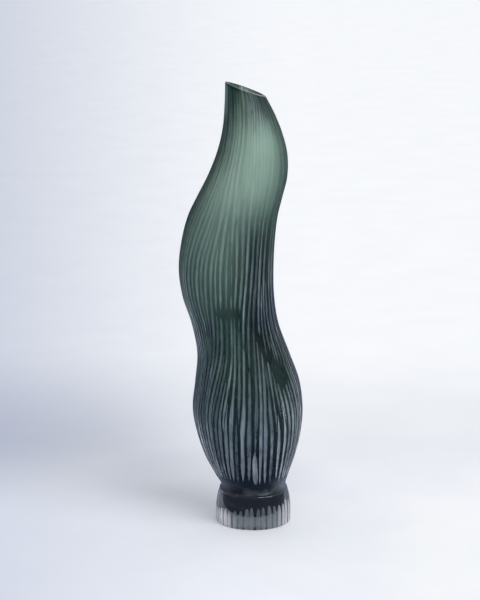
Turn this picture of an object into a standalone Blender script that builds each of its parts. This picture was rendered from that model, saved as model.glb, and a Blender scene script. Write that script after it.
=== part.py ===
"""A tall sinuous vase in dark green glass.

A fluted hollow body, cut on the slant at its mouth, stands on a round foot of clear glass over a dark core.
Metres, +Z up. X runs to the right across the front, and Y away from it. The origin is the middle of the
foot's polished underside, on the surface that the vase stands on.
"""

import math
from collections import namedtuple

import bmesh
import bpy
from mathutils import Vector

MM = 0.001

# Fit between pieces
JOINT_GAP = 0.3 * MM
JOINT_EDGE = 0.9 * MM

# Foot: a turned casing of clear glass over a dark core
FOOT_RADIUS = 47.6 * MM
FOOT_HEIGHT = 42.7 * MM
FOOT_WIDEST_HEIGHT = 14.0 * MM
FOOT_BASE_TAPER = 0.4 * MM
FOOT_BASE_BEVEL = 1.2 * MM
FOOT_ROWS = 9
CASING_WALL = 16.0 * MM
CASING_FLOOR = 9.0 * MM
CORE_ROUND = 15.0 * MM
CORE_ROUND_STEPS = 5
CORE_COLUMNS = 36

# Body: where it meets the foot, its waist, its belly and its mouth
SEAM_RADIUS = 43.0 * MM
WAIST_RADIUS = 41.0 * MM
WAIST_RISE = 5.3 * MM
BODY_HEIGHT = 507.2 * MM
BELLY_RADIUS = 69.4 * MM
SWAY = 34.2 * MM
MOUTH_HALF_WIDTH = 24.9 * MM
MOUTH_HALF_DEPTH = 19.0 * MM
MOUTH_SWAY = 10.4 * MM
MOUTH_DROP = 18.0 * MM
RIM_BEVEL = 0.6 * MM

# Hollow inside the body
WALL_AT_MOUTH = 4.4 * MM
WALL_AT_BELLY = 7.0 * MM
FLOOR_RISE = 32.0 * MM
FLOOR_ROUND = 24.0 * MM
FLOOR_ROUND_STEPS = 4
CAVITY_COLUMNS = 36

# Flutes cut down the body and round the foot
BODY_FLUTES = 56
BODY_FLUTE_DEPTH = 1.1 * MM
BODY_FLUTE_START = 16.0 * MM
BODY_FLUTE_STAGGER = 13.0 * MM
BODY_FLUTE_RUNOUT = 16.0 * MM
MOUTH_FLUTE_DEPTH = 0.5 * MM
FOOT_FLUTES = 39
FOOT_FLUTE_DEPTH = 1.0 * MM
FOOT_FLUTE_TOP = 29.0 * MM
FOOT_FLUTE_SLANT = 4.0 * MM
FOOT_FLUTE_STAGGER = 4.0 * MM
FOOT_FLUTE_RUNOUT = 12.0 * MM
STAGGER_SHARES = (0.1, 0.7, 0.35, 0.95, 0.5, 0.0, 0.8, 0.25, 0.6)
ROWS_PER_SPAN = 2
CREASE_DEGREES = 16

# Cross-sections of the body between the waist and the mouth. Their columns are the height above the seam
# as a share of BODY_HEIGHT, the lean to the left of SWAY, the half width of BELLY_RADIUS, the half depth of
# that half width, and how far the right side hangs below the left of MOUTH_DROP.
SECTION_SHARES = (
    (0.037, 0.061, 0.673, 1.00, 0.00),
    (0.089, 0.132, 0.830, 1.00, 0.00),
    (0.148, 0.175, 0.948, 1.00, 0.00),
    (0.207, 0.216, 1.000, 1.00, 0.00),
    (0.276, 0.231, 0.944, 0.99, 0.00),
    (0.347, 0.377, 0.833, 0.97, 0.00),
    (0.422, 0.678, 0.782, 0.95, 0.00),
    (0.491, 0.921, 0.824, 0.93, 0.00),
    (0.560, 1.000, 0.850, 0.92, 0.00),
    (0.629, 0.927, 0.834, 0.91, 0.00),
    (0.690, 0.760, 0.801, 0.90, 0.00),
    (0.739, 0.503, 0.759, 0.89, 0.00),
    (0.788, 0.234, 0.710, 0.89, 0.00),
    (0.845, 0.063, 0.625, 0.89, 0.08),
    (0.900, 0.056, 0.527, 0.87, 0.28),
    (0.952, 0.158, 0.442, 0.83, 0.61),
)

Section = namedtuple("Section", "rise lean half_width half_depth drop")


def glass(name, colour, roughness):
    """A Principled BSDF for one piece of glass."""
    material = bpy.data.materials.new(name)
    material.use_nodes = True
    shader = material.node_tree.nodes["Principled BSDF"]
    shader.inputs["Base Color"].default_value = (*colour, 1.0)
    shader.inputs["Roughness"].default_value = roughness
    shader.inputs["Metallic"].default_value = 0.0
    shader.inputs["IOR"].default_value = 1.5
    return material


def new_piece(name, bm, material):
    """Turns a bmesh into a named object in the scene, with smooth round faces and crisp cut edges."""
    bmesh.ops.recalc_face_normals(bm, faces=bm.faces)
    mesh = bpy.data.meshes.new(name)
    bm.to_mesh(mesh)
    bm.free()
    mesh.shade_smooth()
    mesh.set_sharp_from_angle(angle=math.radians(CREASE_DEGREES))
    mesh.materials.append(material)
    piece = bpy.data.objects.new(name, mesh)
    bpy.context.scene.collection.objects.link(piece)
    return piece


def eased(share):
    """0 below 0, 1 above 1, and a smooth step between."""
    share = min(max(share, 0.0), 1.0)
    return share * share * (3 - 2 * share)


def body_sections():
    """The body's named sections and the shaped ones between them, from the seam to the mouth."""
    seam = Section(0.0, 0.0, SEAM_RADIUS, SEAM_RADIUS, 0.0)
    waist = Section(WAIST_RISE, 0.0, WAIST_RADIUS, WAIST_RADIUS, 0.0)
    shaped = [
        Section(
            rise * BODY_HEIGHT,
            lean * SWAY,
            width * BELLY_RADIUS,
            width * depth * BELLY_RADIUS,
            drop * MOUTH_DROP,
        )
        for rise, lean, width, depth, drop in SECTION_SHARES
    ]
    mouth = Section(BODY_HEIGHT, MOUTH_SWAY, MOUTH_HALF_WIDTH, MOUTH_HALF_DEPTH, MOUTH_DROP)
    return [seam, waist, *shaped, mouth]


def section_at(sections, rise):
    """The section at this height above the seam, on a smooth curve through the given ones."""
    last = len(sections) - 2
    i = min(max(sum(s.rise <= rise for s in sections) - 1, 0), last)
    before, low, high, after = (
        sections[max(i - 1, 0)],
        sections[i],
        sections[i + 1],
        sections[min(i + 2, last + 1)],
    )
    span = high.rise - low.rise
    t = (rise - low.rise) / span

    def curve(field):
        a, b, c, d = (getattr(s, field) for s in (before, low, high, after))
        slope_low = (c - a) / (high.rise - before.rise) * span
        slope_high = (d - b) / (after.rise - low.rise) * span
        return (
            b * (2 * t**3 - 3 * t**2 + 1)
            + slope_low * (t**3 - 2 * t**2 + t)
            + c * (3 * t**2 - 2 * t**3)
            + slope_high * (t**3 - t**2)
        )

    return Section(rise, *(curve(field) for field in Section._fields[1:]))


def ring(bm, centre, half_width, half_depth, fall, columns, cuts=None):
    """A closed loop of points on an ellipse whose plane falls to the right, cut in towards the axis."""
    points = []
    for i in range(columns):
        angle = math.tau * i / columns
        cut = cuts[i] if cuts else 0.0
        x = (half_width - cut) * math.cos(angle)
        y = (half_depth - cut) * math.sin(angle)
        points.append(bm.verts.new(centre + Vector((x, y, -fall * x))))
    return points


def skin(bm, rings):
    """Quads between each ring and the next, or triangles where one has more columns than the other."""
    for low, high in zip(rings, rings[1:]):
        if len(low) == len(high):
            for a, b, c, d in zip(low, turned(low), turned(high), high):
                bm.faces.new((a, b, c, d))
        else:
            stitch(bm, low, high)


def turned(points):
    """The same ring, started one column on."""
    return points[1:] + points[:1]


def stitch(bm, low, high):
    """Triangles between two rings of unlike counts, from whichever ring is behind on its way round."""
    i = j = 0
    while i < len(low) or j < len(high):
        a = low[i % len(low)]
        b = high[j % len(high)]
        if (i + 1) * len(high) <= (j + 1) * len(low):
            i += 1
            bm.faces.new((a, low[i % len(low)], b))
        else:
            j += 1
            bm.faces.new((a, high[j % len(high)], b))


def flute_cuts(flutes, depth, reach):
    """How deep each column of a fluted ring is cut: ridge, valley, ridge, and so on.

    reach says how far a flute with this stagger and heading has run in, from 0 where it starts to 1 at its
    full depth.
    """
    cuts = []
    for flute in range(flutes):
        stagger = STAGGER_SHARES[flute % len(STAGGER_SHARES)]
        heading = math.tau * (flute + 0.5) / flutes
        cuts += [0.0, depth * eased(reach(stagger, heading))]
    return cuts


def outer_rises(sections):
    """Heights above the seam of the body's outer rings: each section, and evenly spaced ones between."""
    rises = [JOINT_EDGE]
    for low, high in zip(sections, sections[1:]):
        step = (high.rise - low.rise) / ROWS_PER_SPAN
        rises += [low.rise + step * (k + 1) for k in range(ROWS_PER_SPAN)]
    rises[-1] = BODY_HEIGHT - RIM_BEVEL
    return rises


def body_ring(bm, section, inset, columns, cuts=None):
    """A ring of the body at a section, drawn in from the outer face by inset."""
    centre = Vector((-section.lean, 0.0, FOOT_HEIGHT + JOINT_GAP + section.rise))
    fall = section.drop / (2 * section.half_width)
    return ring(
        bm,
        centre,
        section.half_width - inset,
        section.half_depth - inset,
        fall,
        columns,
        cuts,
    )


def wall_at(rise):
    """Wall thickness at a height above the seam: heavier in the belly than at the mouth."""
    return WALL_AT_BELLY + (WALL_AT_MOUTH - WALL_AT_BELLY) * eased(rise / BODY_HEIGHT)


def body_outer_rings(bm, sections):
    """The fluted outside, from the seam up to the edge of the rim's bevel."""
    rings = [body_ring(bm, sections[0], JOINT_EDGE, 2 * BODY_FLUTES)]
    for rise in outer_rises(sections):
        shallowing = eased(rise / BODY_HEIGHT)
        depth = BODY_FLUTE_DEPTH + (MOUTH_FLUTE_DEPTH - BODY_FLUTE_DEPTH) * shallowing

        def reach(stagger, _heading, rise=rise):
            start = BODY_FLUTE_START + stagger * BODY_FLUTE_STAGGER
            return (rise - start) / BODY_FLUTE_RUNOUT

        cuts = flute_cuts(BODY_FLUTES, depth, reach)
        rings.append(body_ring(bm, section_at(sections, rise), 0.0, 2 * BODY_FLUTES, cuts))
    return rings


def cavity_rings(bm, sections):
    """The smooth inside, from the rim's inner edge down to the rounded floor."""
    mouth = sections[-1]
    full = FLOOR_RISE + FLOOR_ROUND
    rises = [BODY_HEIGHT - RIM_BEVEL]
    rises += [s.rise for s in reversed(sections[:-1]) if s.rise > full]
    rings = [body_ring(bm, mouth, WALL_AT_MOUTH - RIM_BEVEL, CAVITY_COLUMNS)]
    for rise in rises:
        rings.append(body_ring(bm, section_at(sections, rise), wall_at(rise), CAVITY_COLUMNS))
    for k in range(FLOOR_ROUND_STEPS):
        angle = math.pi / 2 * k / FLOOR_ROUND_STEPS
        rise = full - FLOOR_ROUND * math.sin(angle)
        section = section_at(sections, rise)
        half = (section.half_width - wall_at(rise)) * math.cos(angle)
        rings.append(body_ring(bm, section, section.half_width - half, CAVITY_COLUMNS))
    return rings


def make_body(material):
    """The hollow body: fluted outside, bevelled slanting rim, smooth inside and a thick floor."""
    bm = bmesh.new()
    sections = body_sections()
    outer = body_outer_rings(bm, sections)
    rim = body_ring(bm, sections[-1], RIM_BEVEL, 2 * BODY_FLUTES)
    inner = cavity_rings(bm, sections)
    skin(bm, [*outer, rim, *inner])
    floor = section_at(sections, FLOOR_RISE)
    bottom = bm.verts.new((-floor.lean, 0.0, FOOT_HEIGHT + JOINT_GAP + FLOOR_RISE))
    for a, b in zip(inner[-1], turned(inner[-1])):
        bm.faces.new((a, b, bottom))
    bm.faces.new(outer[0])
    return new_piece("vase_body", bm, material)


def foot_radius_at(height):
    """The foot's outline: a slight taper under its widest height, and a long curve in to the seam above."""
    if height < FOOT_WIDEST_HEIGHT:
        share = 1 - height / FOOT_WIDEST_HEIGHT
        return FOOT_RADIUS - FOOT_BASE_TAPER * share**2
    share = (height - FOOT_WIDEST_HEIGHT) / (FOOT_HEIGHT - FOOT_WIDEST_HEIGHT)
    return FOOT_RADIUS - (FOOT_RADIUS - SEAM_RADIUS) * share**2


def foot_ring(bm, height, radius, columns, cuts=None):
    """A level ring about the foot's axis."""
    return ring(bm, Vector((0.0, 0.0, height)), radius, radius, 0.0, columns, cuts)


def core_outline(grow):
    """The core's outline as (radius, height) points, top to bottom, pushed out by grow below the top."""
    radius = SEAM_RADIUS - CASING_WALL - JOINT_GAP + grow
    floor = CASING_FLOOR + JOINT_GAP - grow
    rounding = CORE_ROUND + grow
    points = [(radius, FOOT_HEIGHT), (radius, floor + rounding)]
    for k in range(1, CORE_ROUND_STEPS + 1):
        angle = math.pi / 2 * k / CORE_ROUND_STEPS
        inward = rounding * (1 - math.cos(angle))
        height = floor + rounding * (1 - math.sin(angle))
        points.append((radius - inward, height))
    return points


def make_foot_casing(material):
    """The clear outer glass of the foot: fluted from its base upwards, with a socket for the core."""
    bm = bmesh.new()
    columns = 2 * FOOT_FLUTES
    flat = foot_radius_at(0.0) - FOOT_BASE_BEVEL
    rings = []
    row_height = (FOOT_HEIGHT - JOINT_EDGE - FOOT_BASE_BEVEL) / FOOT_ROWS
    for k in range(FOOT_ROWS + 1):
        height = FOOT_BASE_BEVEL + row_height * k

        def reach(stagger, heading, height=height):
            top = FOOT_FLUTE_TOP + FOOT_FLUTE_SLANT * math.cos(heading) + stagger * FOOT_FLUTE_STAGGER
            return (top - height) / FOOT_FLUTE_RUNOUT

        cuts = flute_cuts(FOOT_FLUTES, FOOT_FLUTE_DEPTH, reach)
        rings.append(foot_ring(bm, height, foot_radius_at(height), columns, cuts))
    base_cuts = flute_cuts(FOOT_FLUTES, FOOT_FLUTE_DEPTH, lambda stagger, heading: 1.0)
    base = foot_ring(bm, 0.0, flat, columns, base_cuts)
    top = foot_ring(bm, FOOT_HEIGHT, SEAM_RADIUS - JOINT_EDGE, columns)
    socket = [foot_ring(bm, height, radius, CORE_COLUMNS) for radius, height in core_outline(JOINT_GAP)]
    skin(bm, [base, *rings, top, *socket])
    bm.faces.new(base)
    bm.faces.new(socket[-1])
    return new_piece("foot_casing", bm, material)


def make_foot_core(material):
    """The dark glass heart of the foot, which fills the casing's socket up to the seam."""
    bm = bmesh.new()
    rings = [foot_ring(bm, height, radius, CORE_COLUMNS) for radius, height in core_outline(0.0)]
    skin(bm, rings)
    bm.faces.new(rings[0])
    bm.faces.new(rings[-1])
    return new_piece("foot_core", bm, material)


def main():
    for old in list(bpy.data.objects):
        bpy.data.objects.remove(old)
    green = glass("green glass", (0.035, 0.060, 0.055), 0.35)
    dark = glass("dark glass", (0.012, 0.016, 0.020), 0.15)
    clear = glass("clear glass", (0.42, 0.47, 0.46), 0.30)
    make_body(green)
    make_foot_core(dark)
    make_foot_casing(clear)


main()
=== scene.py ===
"""The looks of the carved green glass vase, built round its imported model.

Metres, +Z up, the vase's front at -Y. A heading is a turn about +Z from the vase's right, so -90 degrees is
its front. A side is a heading's cosine, from -1 left to 1 right. A rise is a height over the foot's seam.
"""

import math
import random
from collections import namedtuple

import bpy
import numpy as np
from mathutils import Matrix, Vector


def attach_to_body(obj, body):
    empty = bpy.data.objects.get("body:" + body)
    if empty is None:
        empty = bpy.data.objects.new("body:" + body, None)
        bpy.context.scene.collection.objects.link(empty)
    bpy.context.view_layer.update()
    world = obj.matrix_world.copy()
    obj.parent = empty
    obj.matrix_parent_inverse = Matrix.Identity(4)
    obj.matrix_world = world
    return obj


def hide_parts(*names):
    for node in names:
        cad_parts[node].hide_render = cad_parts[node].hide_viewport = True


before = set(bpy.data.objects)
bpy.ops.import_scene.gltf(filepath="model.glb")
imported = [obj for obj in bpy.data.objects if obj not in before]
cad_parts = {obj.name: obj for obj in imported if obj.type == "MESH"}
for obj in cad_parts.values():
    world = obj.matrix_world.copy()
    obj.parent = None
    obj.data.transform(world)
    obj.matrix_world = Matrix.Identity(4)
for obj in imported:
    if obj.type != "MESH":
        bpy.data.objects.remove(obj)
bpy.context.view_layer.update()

MM = 0.001
SEED = 7

# The body's outline, as in the model. Each row of shares is a section: its height, lean to the left, half
# width, depth over width, and part of the mouth's slant.
FOOT_HEIGHT = 42.7 * MM
JOINT_GAP = 0.3 * MM
SEAM_RADIUS = 43.0 * MM
WAIST_RADIUS = 41.0 * MM
WAIST_RISE = 5.3 * MM
BODY_HEIGHT = 507.2 * MM
BELLY_RADIUS = 69.4 * MM
SWAY = 34.2 * MM
MOUTH_HALF_WIDTH = 24.9 * MM
MOUTH_HALF_DEPTH = 19.0 * MM
MOUTH_SWAY = 10.4 * MM
MOUTH_DROP = 18.0 * MM
WALL_AT_MOUTH = 4.4 * MM
WALL_AT_BELLY = 7.0 * MM
FLOOR_RISE = 32.0 * MM
FLOOR_ROUND = 24.0 * MM
SECTION_SHARES = (
    (0.037, 0.061, 0.673, 1.00, 0.00),
    (0.089, 0.132, 0.830, 1.00, 0.00),
    (0.148, 0.175, 0.948, 1.00, 0.00),
    (0.207, 0.216, 1.000, 1.00, 0.00),
    (0.276, 0.231, 0.944, 0.99, 0.00),
    (0.347, 0.377, 0.833, 0.97, 0.00),
    (0.422, 0.678, 0.782, 0.95, 0.00),
    (0.491, 0.921, 0.824, 0.93, 0.00),
    (0.560, 1.000, 0.850, 0.92, 0.00),
    (0.629, 0.927, 0.834, 0.91, 0.00),
    (0.690, 0.760, 0.801, 0.90, 0.00),
    (0.739, 0.503, 0.759, 0.89, 0.00),
    (0.788, 0.234, 0.710, 0.89, 0.00),
    (0.845, 0.063, 0.625, 0.89, 0.08),
    (0.900, 0.056, 0.527, 0.87, 0.28),
    (0.952, 0.158, 0.442, 0.83, 0.61),
)

# The foot's outline, as in the model
FOOT_RADIUS = 47.6 * MM
FOOT_WIDEST = 14.0 * MM
FOOT_BASE_TAPER = 0.4 * MM
CASING_WALL = 16.0 * MM
CASING_FLOOR = 9.0 * MM
CORE_ROUND = 15.0 * MM

# Fineness of the meshes: points in a ring, heights from ring to ring, and steps of a rounding
BODY_COLUMNS = 620
INSIDE_COLUMNS = 90
LOW_ROW = 1.6 * MM
LOW_ZONE = 40.0 * MM
HIGH_ROW = 4.3 * MM
RIM_ROW = 0.7 * MM
RIM_ZONE = 7.0 * MM
INSIDE_ROWS = 50
FLOOR_STEPS = 12
FOOT_COLUMNS = 624
SOCKET_COLUMNS = 96
FOOT_ROW = 0.9 * MM
CORE_STEPS = 16
SHARP_ANGLE = 40
LEAST_WIDTH = 1e-3 * MM
LEAST_DEPTH = 1e-4 * MM

# Insets and bevels. Glass fused hot overlaps a little, and the skin lies just inside the model's.
SKIN_INSET = 0.15 * MM
RIM_BEVEL = 0.6 * MM
UNDER_RIM = 6 * RIM_BEVEL
SEAM_BEVEL = 0.3 * MM
FUSED = 0.05 * MM
FOOT_BEVEL = 0.9 * MM
FOOT_CLEARANCE = 0.1 * MM

# Painted light and shade on the rim: shares of light lost at the back, left on the outer edge, and gained
# there to the right
RIM_BACK_SHARE = 0.8
RIM_STEEPNESS = 1.5
RIM_EDGE_SHARE = 0.4
RIM_RIGHT_SHARE = 0.3

# A zone of the body's outside: the side and rise of its middle, half its span in both, and a share
Zone = namedtuple("Zone", "side rise half_side half_rise share")


def zones_of(*rows):
    """Zones from rows that give their rises and half spans in millimetres."""
    zones = (Zone(*row) for row in rows)
    return [z._replace(rise=z.rise * MM, half_rise=z.half_rise * MM) for z in zones]


# The wheel's cuts down the body: long ones from the mouth to the belly, short ones that fill in where those
# draw apart, and lower ones on to the waist. The spreads say how unevenly they end, the runs over which
# length, and the tip how sharply. The radius of the wheel sets how deep a cut of some width is.
Family = namedtuple("Family", "flutes low high low_spread high_spread low_run high_run widths wheel tip")
LONG = Family(56, 90 * MM, BODY_HEIGHT + 60 * MM, 14 * MM, 0.0, 44 * MM, 40 * MM, (0.66, 0.92), 2.8 * MM, 1.1)
FILL = Family(56, 92 * MM, 246 * MM, 14 * MM, 8 * MM, 44 * MM, 30 * MM, (0.52, 0.70), 2.4 * MM, 1.1)
LOWER = Family(60, 20 * MM, 126 * MM, 4 * MM, 14 * MM, 16 * MM, 48 * MM, (0.70, 0.90), 1.5 * MM, 0.5)
HIGH_TIP = 0.9
RUN_SHARES = (0.7, 1.3)
UNEVEN_SHARE = 0.13
WANDER_SHARE = 0.08
WANDER_LENGTH = 36 * MM
TONE_SHARES = (0.55, 1.0)
WIDEST_CUT = 6.2 * MM
DEEPEST_CUT = 1.1 * MM
MOUTH_FADE_SHARE = 0.35
MOUTH_FADE = 150 * MM

# Where cuts are added, end early, join and narrow, by the gap between them as a share of their even spacing
WIDE_GAP_SHARE = 1.32
LOW_GAP_SHARE = 0.50
HIGH_GAP_SHARE = 0.78
JOIN_SHARE = 0.32
JOIN_RISE = 84 * MM
KEPT_APART_SHARE = 0.84

# How the cuts' breadth changes on their way up, and how it waves
NARROWING_RISES = (88 * MM, 128 * MM, 190 * MM, 245 * MM, 300 * MM, 380 * MM, 440 * MM)
NARROWING_SHARES = (1.02, 0.72, 0.64, 0.80, 0.96, 0.98, 0.86)
FINE_ZONE = Zone(0.64, 335 * MM, 0.46, 85 * MM, 0.40)
WAVE_SHARE = 0.13
WAVE_LENGTH = 11 * MM
WAVE_TURNS = 3

# How the frost ends at a cut's edges: crisp low down and at the sides, soft over the middle of the bend
CRISP_RISES = (300 * MM, 370 * MM)
CRISP_EDGE_SHARES = (0.5, 0.24)
SOFT_EDGE_SHARE = 0.7
SOFT_CORE_SHARE = 0.6
SOFT_CORE_POWER = 4
SOFT_RISES = (118 * MM, 165 * MM, 300 * MM, 360 * MM)
SOFT_SHARES = (0.0, 1.0, 1.0, 0.15)
SOFT_SIDE_SHARE = 0.42
SOFT_FADE_SHARE = 0.36

# Fine lines along the cuts: how many go round, a phase, and the rise over which each drifts
STREAKS = (
    (97, 0.4, 31 * MM),
    (141, 2.2, -23 * MM),
    (183, 4.1, 27 * MM),
    (229, 1.3, -19 * MM),
    (263, 5.0, 35 * MM),
)
STREAK_FROST_SHARE = 0.30
STREAK_TONE_SHARE = 0.05

# How the cuts run: nearly upright over the middle of the front and back, along the outline at the sides. The
# share of a zone is the slope that they have there besides, to the right on their way up.
COURSE_START = 284 * MM
COURSE_LOW = 76 * MM
COURSE_STEP = 4 * MM
UPRIGHT_SHARE = 0.91
SLOPES = zones_of(
    (-0.62, 160, 0.60, 85, 0.36),
    (-0.60, 330, 0.85, 60, 0.32),
    (-0.45, 430, 0.75, 60, 0.14),
    (0.55, 245, 0.65, 75, 0.18),
    (0.80, 125, 0.50, 60, -0.41),
    (-0.80, 230, 0.40, 45, -0.18),
)

# One broad leaf-shaped cut low on the front: heading, ends, breadth, how low it is widest, and its frost
LEAF_ANGLE = -84
LEAF_LOW = 17 * MM
LEAF_HIGH = 64 * MM
LEAF_WIDTH = 7.6 * MM
LEAF_LOW_POWER = 0.7
LEAF_ROOM_SHARE = 0.6
LEAF_FROST_SHARE = 0.95
LEAF_EDGE_SHARE = 0.35

# Where the glass is darker: painted shade, partly standing for thicker glass. Share of light lost
THICK_AND_SHADED_ZONES = zones_of(
    (0.80, 258, 1.25, 130, 0.46),
    (-1.15, 462, 1.35, 110, 0.48),
    (1.25, 470, 0.75, 110, 0.28),
    (-1.15, 320, 0.50, 290, 0.56),
    (1.15, 320, 0.50, 290, 0.52),
    (-0.1, 524, 3.0, 92, 0.82),
    (-0.98, 430, 0.24, 120, 0.35),
    (1.0, 370, 0.24, 120, 0.16),
    (0.68, 316, 0.46, 60, 0.32),
    (-0.2, 200, 3.0, 60, 0.08),
    (-0.6, BODY_HEIGHT / MM, 1.6, 7, 0.97),
    (0.36, 166, 0.34, 42, 0.15),
    (0.45, 226, 0.50, 44, 0.25),
    (0.58, 496, 0.46, 34, 0.55),
    (0.68, 224, 0.22, 46, 0.85),
    (-0.80, 490, 0.26, 40, 0.52),
    (-0.80, 166, 0.34, 22, 0.50),
    (0.95, 236, 0.24, 52, 0.70),
    (0.60, 226, 0.42, 58, 0.60),
    (0.44, 164, 0.20, 30, 0.80),
    (0.38, 500, 0.34, 28, 0.42),
    (0.68, 478, 0.20, 28, 0.30),
    (0.20, 224, 0.18, 38, 0.42),
    (0.64, 290, 0.28, 50, 0.58),
    (-0.36, 193, 0.32, 22, 0.22),
    (0.40, 322, 0.32, 34, 0.22),
    (-0.64, 212, 0.26, 28, 0.80),
)

# Where the outside catches light at the edges: share of light gained
LIT_ZONES = zones_of(
    (-1.05, 50, 0.42, 62, 0.85),
    (1.05, 74, 0.45, 94, 0.62),
    (-1.02, 225, 0.32, 90, 0.95),
    (1.05, 178, 0.22, 62, 0.55),
    (1.05, 330, 0.22, 70, 0.22),
    (-0.05, 496, 0.32, 28, 0.12),
    (0.66, 114, 0.20, 44, 0.80),
    (-1.03, 78, 0.34, 44, 0.75),
    (-1.04, 305, 0.28, 60, 0.35),
    (0.78, 150, 0.30, 32, 0.30),
    (0.66, 44, 0.24, 34, 0.25),
    (0.68, 166, 0.18, 24, 0.42),
    (-0.34, 163, 0.34, 28, 0.46),
    (-0.22, 499, 0.14, 22, 0.20),
    (0.44, 70, 0.14, 24, 0.32),
    (-1.04, 214, 0.26, 52, 0.40),
    (0.05, 46, 0.26, 20, 0.24),
    (-1.02, 62, 0.30, 30, 0.45),
    (-0.95, 26, 0.50, 30, 0.50),
    (0.95, 20, 0.50, 28, 0.55),
    (0.0, 284, 0.20, 42, 0.46),
    (-0.40, 476, 0.44, 24, 0.04),
    (0.95, 116, 0.28, 44, 0.30),
    (-1.04, 492, 0.22, 30, 0.95),
)

# Places the wheel left bare: heading, rise, half angle and half height. Cuts end at them unevenly.
Patch = namedtuple("Patch", "angle rise half_angle half_height")
BARE_PATCHES = (
    Patch(-93, 238 * MM, 17, 7 * MM),
    Patch(-45, 160 * MM, 9, 13 * MM),
    Patch(-61, 206 * MM, 4, 15 * MM),
    Patch(-54, 180 * MM, 5, 8 * MM),
    Patch(60, 170 * MM, 13, 12 * MM),
    Patch(150, 235 * MM, 14, 9 * MM),
)
BARE_BLEND = 17 * MM
BARE_TIP = 0.5
BARE_UNEVEN_SHARE = 0.5
BARE_UNEVEN_TURNS = 9

# The cuts round the foot, which reach highest at one heading, and the uneven pale line of the weld over them,
# which also paints the seam's highlight
FOOT_FLUTES = 39
FOOT_CUT_TOP = 26.8 * MM
FOOT_CUT_TILT = 5.2 * MM
FOOT_TILT_ANGLE = -10
FOOT_CUT_SPREAD = 2.2 * MM
FOOT_CUT_RUN = 13.0 * MM
FOOT_WIDTH_SHARES = (0.72, 0.90)
FOOT_WHEEL = 9.0 * MM
FOOT_TONE_SHARES = (0.80, 1.0)
FOOT_EDGE_SHARE = 0.35
WELD_LINE = 1.2 * MM
WELD_LINES_DOWN = 1.5
WELD_SHARE = 0.55
WELD_WAVES = ((5, 1.0, 0.30), (17, 0.0, 0.15))

# Where the foot is smoky over its core: up to a side, or further at the top left, clear only at the very
# edges, where it is painted lighter, and darker towards the top
FOOT_SMOKE_MIDDLE = 0.08
FOOT_SMOKE_SIDE = 0.42
FOOT_SMOKE_SPREAD = 0.30
FOOT_SPREAD_SHARES = (0.3, 0.3)
FOOT_STEEPNESS = -3
FOOT_CLEAR_SIDE = 1.04
FOOT_TOP_SHARE = 0.5

# Textures: fineness over a metre, stretch along the height, detail, roughness, and what their noise becomes
Texture = namedtuple("Texture", "scale stretch detail rough turn")
STREAK_TEXTURE = Texture(420.0, 0.05, 3.0, 0.5, (0.3, 0.7, 0.78, 1.14))
GRAIN_TEXTURE = Texture(1500.0, 0.35, 2.0, 0.5, (0.3, 0.7, 0.36, 0.50))
MOTTLE_TEXTURE = Texture(170.0, 0.5, 3.0, 0.6, (0.32, 0.68, 0.72, 1.16))
WISP_TEXTURE = Texture(55.0, 1.6, 4.0, 0.6, (0.46, 0.70))
FOOT_STREAK_TEXTURE = Texture(420.0, 0.08, 3.0, 0.5, (0.3, 0.7, 0.75, 1.10))
FOOT_CLOUD_TEXTURE = Texture(90.0, 0.6, 3.0, 0.5, (0.3, 0.7, -4 * MM, 4 * MM))
CORE_CLOUD_TEXTURE = Texture(75.0, 1.5, 4.0, 0.6, (0.50, 0.72))
FLOOR_TEXTURE = Texture(9.0, 1.0, 4.0, 0.6, (0.35, 0.7, 0.0, 0.05))

# The body's glass from the floor up, as (share of the height, colour or share) stops
GLASS_HEIGHTS = (0.0, 560 * MM)
SKIN_STOPS = (
    (0.10, (0.020, 0.024, 0.044)),
    (0.15, (0.014, 0.018, 0.036)),
    (0.22, (0.017, 0.024, 0.036)),
    (0.36, (0.043, 0.058, 0.064)),
    (0.47, (0.072, 0.098, 0.086)),
    (0.58, (0.205, 0.228, 0.215)),
    (0.70, (0.400, 0.428, 0.415)),
    (0.78, (0.715, 0.750, 0.720)),
    (0.88, (0.790, 0.835, 0.800)),
    (0.95, (0.600, 0.620, 0.610)),
)
CUT_STOPS = (
    (0.20, (0.298, 0.352, 0.425)),
    (0.30, (0.298, 0.362, 0.408)),
    (0.42, (0.380, 0.465, 0.490)),
    (0.58, (0.640, 0.740, 0.725)),
    (0.70, (0.710, 0.775, 0.765)),
    (0.80, (0.955, 0.970, 0.960)),
    (0.90, (0.920, 0.960, 0.930)),
    (0.96, (0.700, 0.730, 0.720)),
)
SOLIDITY_STOPS = ((0.20, 0.62), (0.34, 0.42), (0.46, 0.32), (0.60, 0.16), (0.72, 0.04))

# Colours of the body's glass. Pairs are low down and high up, or least and most. Shade colours take painted
# shade, partly for thicker glass, lit colours are painted light, and the rim's run from painted shade to
# painted light.
SKIN_SHADE_COLOURS = ((0.0, 0.012, 0.04), (0.0, 0.02, 0.01))
CUT_SHADE_COLOURS = ((0.0, 0.02, 0.16), (0.0, 0.05, 0.04))
SKIN_LIT_COLOUR = (0.78, 0.86, 0.97)
CUT_LIT_COLOUR = (0.86, 0.92, 1.0)
WISP_COLOURS = ((0.0, 0.0, 0.001), (0.082, 0.080, 0.100))
RIM_COLOURS = ((0.012, 0.020, 0.022), (0.56, 0.68, 0.64))
CLEAR = (1.0, 1.0, 1.0)
DEEP_COLOUR = (0.23, 0.50, 0.36)
DENSITY = 145.0
GLOSS_TINT = (0.70, 0.92, 1.0)
GLASS_IOR = 1.47

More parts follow.
